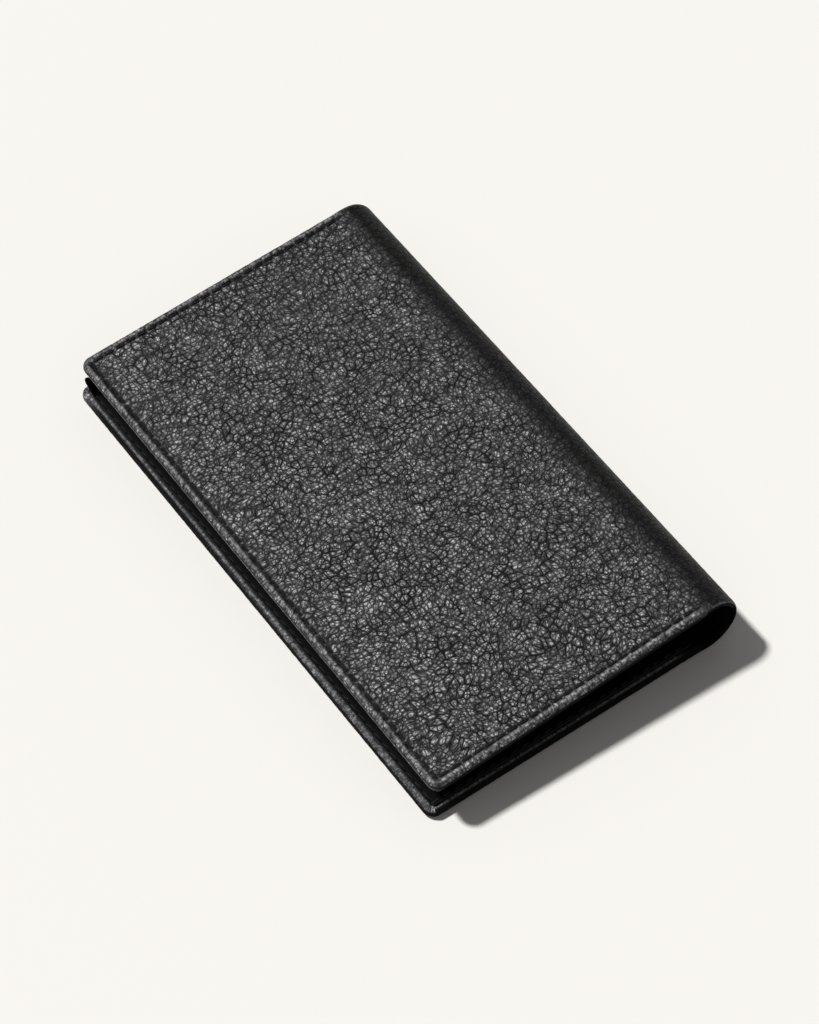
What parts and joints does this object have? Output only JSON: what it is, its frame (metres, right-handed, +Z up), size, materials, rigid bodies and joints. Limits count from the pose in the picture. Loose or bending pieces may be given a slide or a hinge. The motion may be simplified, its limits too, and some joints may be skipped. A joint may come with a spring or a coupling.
{
  "type": "folding leather wallet",
  "caption": "Slim black pebbled-leather wallet that folds along one long side, with stitched turned edges, slip pockets and upright card slots inside.",
  "frame": {"origin": "middle of the bottom of the closed wallet's bounding box, on the back cover's outer face", "axes": "+X across the covers towards the fold, +Y along the fold, +Z up through the closed wallet from the back cover to the front cover"},
  "size_m": [0.0756, 0.127, 0.0151],
  "materials": {
    "grained_leather": "black pebbled full-grain leather, satin on the tops of the pebbles, dark in the creases",
    "smooth_leather": "black smooth pocket leather with creased mouths",
    "lining_cloth": "black plain-woven lining cloth, matte",
    "board": "bonded leather board, matte",
    "thread": "black bonded polyester thread, satin"
  },
  "bodies": {
    "back_cover": {"back_cover_leather": "grained_leather", "back_cover_board": "board", "back_cover_lining": "lining_cloth", "back_slip_pocket": "smooth_leather", "back_card_slot_1": "smooth_leather", "back_card_slot_2": "smooth_leather", "back_card_slot_3": "smooth_leather", "back_edge_seam_outside": "thread", "back_edge_seam_inside": "thread", "back_card_slot_seam": "thread", "back_stop_seam_1": "thread", "back_stop_seam_2": "thread"},
    "fold_1": {"fold_leather_1": "grained_leather", "fold_lining_1": "lining_cloth"},
    "fold_2": {"fold_leather_2": "grained_leather", "fold_lining_2": "lining_cloth"},
    "fold_3": {"fold_leather_3": "grained_leather", "fold_lining_3": "lining_cloth"},
    "fold_4": {"fold_leather_4": "grained_leather", "fold_lining_4": "lining_cloth"},
    "fold_5": {"fold_leather_5": "grained_leather", "fold_lining_5": "lining_cloth"},
    "front_cover": {"front_cover_leather": "grained_leather", "front_cover_board": "board", "front_cover_lining": "lining_cloth", "front_slip_pocket": "smooth_leather", "front_card_slot_1": "smooth_leather", "front_card_slot_2": "smooth_leather", "front_card_slot_3": "smooth_leather", "front_edge_seam_outside": "thread", "front_edge_seam_inside": "thread", "front_card_slot_seam": "thread", "front_stop_seam_1": "thread", "front_stop_seam_2": "thread"}
  },
  "joints": [
    {"name": "fold_joint_1", "type": "hinge", "parent": "back_cover", "child": "fold_1", "pos_m": [0.03224, 0, 0], "axis": [0, 1, 0], "range_deg": [0, 30.5]},
    {"name": "fold_joint_2", "type": "hinge", "parent": "fold_1", "child": "fold_2", "pos_m": [0.03577, 0, 0.00208], "axis": [0, 1, 0], "range_deg": [0, 30.5]},
    {"name": "fold_joint_3", "type": "hinge", "parent": "fold_2", "child": "fold_3", "pos_m": [0.03776, 0, 0.00567], "axis": [0, 1, 0], "range_deg": [0, 30.5]},
    {"name": "fold_joint_4", "type": "hinge", "parent": "fold_3", "child": "fold_4", "pos_m": [0.03765, 0, 0.00977], "axis": [0, 1, 0], "range_deg": [0, 30.5]},
    {"name": "fold_joint_5", "type": "hinge", "parent": "fold_4", "child": "fold_5", "pos_m": [0.03547, 0, 0.01324], "axis": [0, 1, 0], "range_deg": [0, 30.5]},
    {"name": "fold_joint_6", "type": "hinge", "parent": "fold_5", "child": "front_cover", "pos_m": [0.03183, 0, 0.01513], "axis": [0, 1, 0], "range_deg": [0, 30.5]}
  ],
  "couplings": [
    {"joint": "fold_joint_1", "follows": "fold_joint_6", "ratio": 1},
    {"joint": "fold_joint_2", "follows": "fold_joint_6", "ratio": 1},
    {"joint": "fold_joint_3", "follows": "fold_joint_6", "ratio": 1},
    {"joint": "fold_joint_4", "follows": "fold_joint_6", "ratio": 1},
    {"joint": "fold_joint_5", "follows": "fold_joint_6", "ratio": 1}
  ]
}
